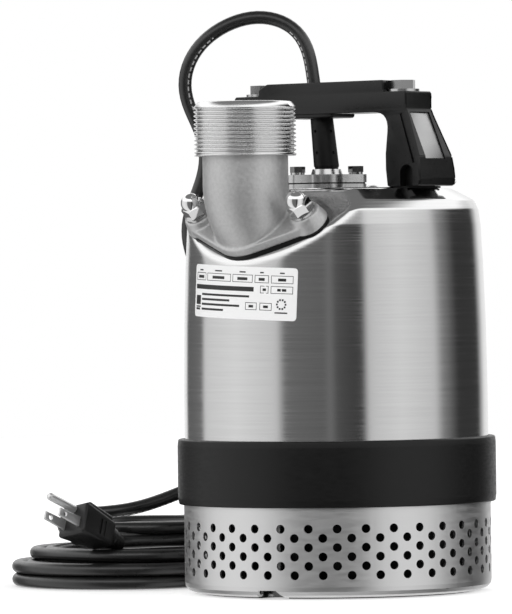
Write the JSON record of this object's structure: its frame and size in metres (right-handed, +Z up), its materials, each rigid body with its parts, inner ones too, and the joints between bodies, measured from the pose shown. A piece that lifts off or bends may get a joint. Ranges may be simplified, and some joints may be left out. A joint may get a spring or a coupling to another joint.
{
  "type": "submersible sump pump",
  "caption": "Electric submersible dewatering pump: stainless shell, perforated strainer, threaded elbow discharge, carrying handle and a coiled cord with plug.",
  "frame": {"origin": "on the floor at the pump's vertical axis, centre of the base plate's underside", "axes": "+Z up along the motor shaft; the discharge faces -Y; the grip bar runs along X"},
  "size_m": [0.3415, 0.2057, 0.3509],
  "materials": {
    "stainless_sheet": "brushed stainless sheet",
    "strainer_steel": "satin stainless sheet",
    "cast_aluminium": "bead-blasted casting",
    "chrome": "polished",
    "zinc_steel": "zinc plated",
    "band_rubber": "moulded, semi-matte",
    "black_rubber": "moulded",
    "label_film": "printed polyester film",
    "pump_iron": "sand cast, painted",
    "bronze": "turned",
    "bearing_steel": "ground",
    "carbon": "lapped carbon",
    "ceramic": "lapped ceramic",
    "lamination_steel": "stacked sheet",
    "copper": "enamelled wire",
    "shaft_steel": "turned and ground",
    "electrical_plastic": "moulded",
    "handle_plastic": "glass-filled nylon, moulded",
    "cord_jacket": "extruded",
    "plug_plastic": "moulded PVC",
    "plated_brass": "nickel plated"
  },
  "bodies": {
    "pump": {"outer_shell": "stainless_sheet", "discharge_gasket": "black_rubber", "discharge_elbow": "cast_aluminium", "discharge_studs": "zinc_steel", "discharge_washers": "zinc_steel", "discharge_cap_nuts": "chrome", "name_label": "label_film", "protector_band": "band_rubber", "strainer": "strainer_steel", "base_plate": "black_rubber", "strainer_studs": "zinc_steel", "strainer_nuts": "zinc_steel", "suction_cover": "pump_iron", "wear_ring": "bronze", "pump_casing": "pump_iron", "casing_o_ring": "black_rubber", "oil_chamber_cover": "cast_aluminium", "oil_chamber": "cast_aluminium", "seal_seat": "ceramic", "lower_bearing_outer": "bearing_steel", "upper_bearing_outer": "bearing_steel", "wave_washer": "bearing_steel", "stator_core": "lamination_steel", "stator_windings": "copper", "motor_frame": "cast_aluminium", "motor_head": "cast_aluminium", "chamber_cover": "cast_aluminium", "chamber_cover_screws": "zinc_steel", "chamber_o_ring": "black_rubber", "thermal_protector": "electrical_plastic", "run_capacitor": "cast_aluminium", "gland_seat": "stainless_sheet", "gland_packing": "black_rubber", "gland_cover": "stainless_sheet", "gland_collar": "chrome", "gland_bolts": "zinc_steel", "gland_spring_washers": "zinc_steel", "cable_boot": "black_rubber", "handle": "handle_plastic", "handle_bolts": "zinc_steel", "handle_washers": "zinc_steel", "handle_pads": "black_rubber", "power_cord": "cord_jacket", "cord_coil": "cord_jacket", "plug_tail": "cord_jacket", "plug_body": "plug_plastic", "plug_blades": "plated_brass", "plug_ground_pin": "plated_brass"},
    "rotor": {"shaft": "shaft_steel", "rotor_core": "lamination_steel", "rotor_end_rings": "cast_aluminium", "lower_bearing_inner": "bearing_steel", "upper_bearing_inner": "bearing_steel", "impeller": "pump_iron", "impeller_nut": "zinc_steel", "seal_face": "carbon", "seal_spring": "bearing_steel"},
    "lower_balls": {"lower_bearing_balls": "bearing_steel"},
    "upper_balls": {"upper_bearing_balls": "bearing_steel"}
  },
  "joints": [
    {"name": "rotor_spin", "type": "hinge", "parent": "pump", "child": "rotor", "pos_m": [0, 0, 0.12], "axis": [0, 0, 1], "continuous": true},
    {"name": "lower_ball_roll", "type": "hinge", "parent": "pump", "child": "lower_balls", "pos_m": [0, 0, 0.122], "axis": [0, 0, 1], "continuous": true},
    {"name": "upper_ball_roll", "type": "hinge", "parent": "pump", "child": "upper_balls", "pos_m": [0, 0, 0.2015], "axis": [0, 0, 1], "continuous": true}
  ],
  "couplings": [
    {"joint": "lower_ball_roll", "follows": "rotor_spin", "ratio": 0.3807},
    {"joint": "upper_ball_roll", "follows": "rotor_spin", "ratio": 0.379}
  ]
}
